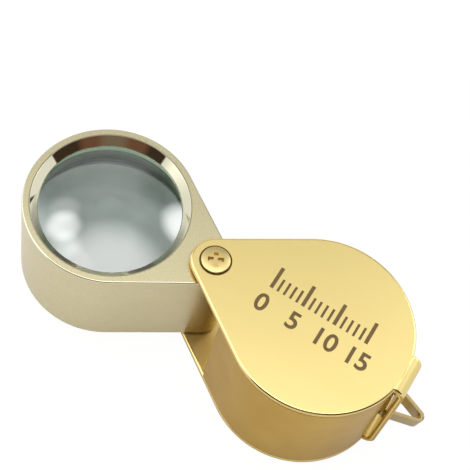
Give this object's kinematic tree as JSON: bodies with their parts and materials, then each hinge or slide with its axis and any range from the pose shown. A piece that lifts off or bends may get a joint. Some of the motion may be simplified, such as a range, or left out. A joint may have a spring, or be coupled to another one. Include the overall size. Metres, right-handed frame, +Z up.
{
  "type": "folding pocket loupe",
  "caption": "Folding pocket magnifier: a thick teardrop lens housing swings on a pivot screw out of a folded sheet-metal cover with a hanging ring.",
  "frame": {"origin": "on the pivot axis, at the underside of the cover, which is the face the folded loupe lies on", "axes": "+X from the pivot towards the hanging ring, +Y towards the cover's open side, +Z up through the cover towards the screw head"},
  "size_m": [0.0655, 0.0266, 0.0198],
  "materials": {
    "plated_gold": "satin brushed, gold plated",
    "champagne_gold": "fine brushed, pale champagne plating",
    "polished_gold": "polished, gold plated",
    "washer_steel": "plain spring steel",
    "black_anodised": "matt black anodised",
    "clear_glass": "polished optical glass"
  },
  "bodies": {
    "cover": {"cover_sheet": "plated_gold", "cover_wall": "plated_gold", "pivot_screw": "polished_gold", "pivot_barrel": "polished_gold", "upper_washer": "washer_steel", "lower_washer": "washer_steel"},
    "housing": {"lens_housing": "champagne_gold", "front_retaining_ring": "polished_gold", "front_lens": "clear_glass", "front_spacer": "black_anodised", "middle_lens": "clear_glass", "rear_spacer": "black_anodised", "rear_lens": "clear_glass", "rear_retaining_ring": "polished_gold"},
    "ring": {"hanging_ring": "plated_gold"}
  },
  "joints": [
    {"name": "housing_swing", "type": "hinge", "parent": "cover", "child": "housing", "pos_m": [0, 0, 0.00975], "axis": [0, 0, 1], "range_deg": [-180, 70]},
    {"name": "ring_swing", "type": "hinge", "parent": "cover", "child": "ring", "pos_m": [0.03021, 0, 0.00975], "axis": [0, 1, 0], "range_deg": [-16, 0]}
  ]
}
